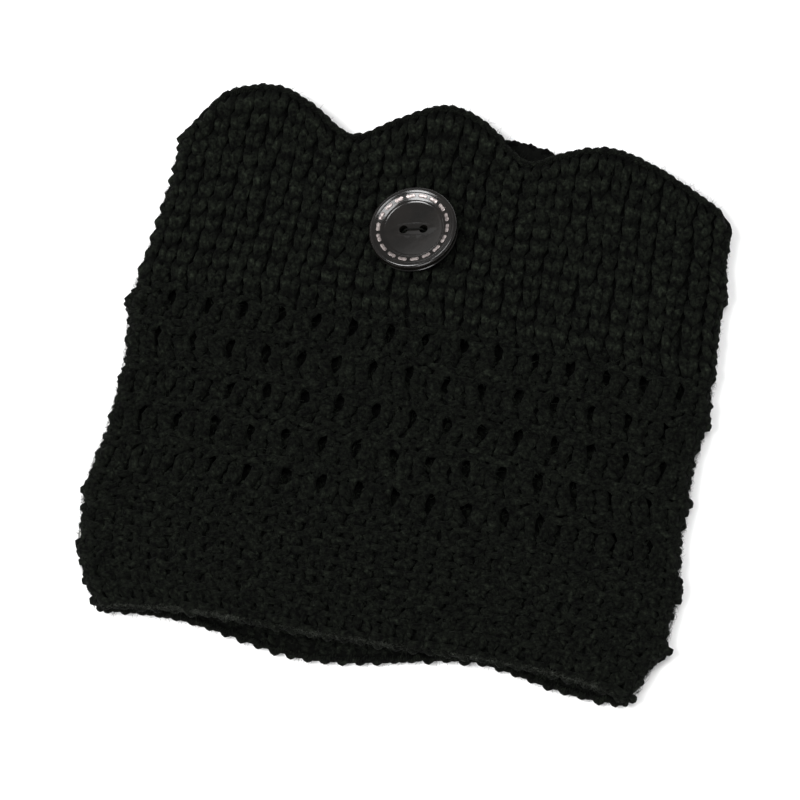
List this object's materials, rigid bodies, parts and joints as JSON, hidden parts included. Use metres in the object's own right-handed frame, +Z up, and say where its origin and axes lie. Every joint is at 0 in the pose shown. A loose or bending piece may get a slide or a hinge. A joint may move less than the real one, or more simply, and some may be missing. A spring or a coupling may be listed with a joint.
{
  "type": "knitted leg warmer",
  "caption": "Short chunky knitted leg warmer laid flat: a tube with a scalloped top edge, an eyelet band, a ridged hem band and a round dished button.",
  "frame": {"origin": "on the surface it lies on, under the middle of the whole outline", "axes": "+X across the garment to its right as seen from above, +Y from the hem up to the scalloped edge, +Z up from the surface"},
  "size_m": [0.167, 0.1644, 0.0185],
  "materials": {
    "front_knit": "matt black chunky knit with a soft halo of fibre",
    "back_knit": "matt black chunky knit with a soft halo of fibre",
    "button_resin": "glossy black resin with a ring of pale metal dashes"
  },
  "bodies": {
    "root": {"front_panel": "front_knit", "back_panel": "back_knit", "button": "button_resin"}
  },
  "joints": []
}
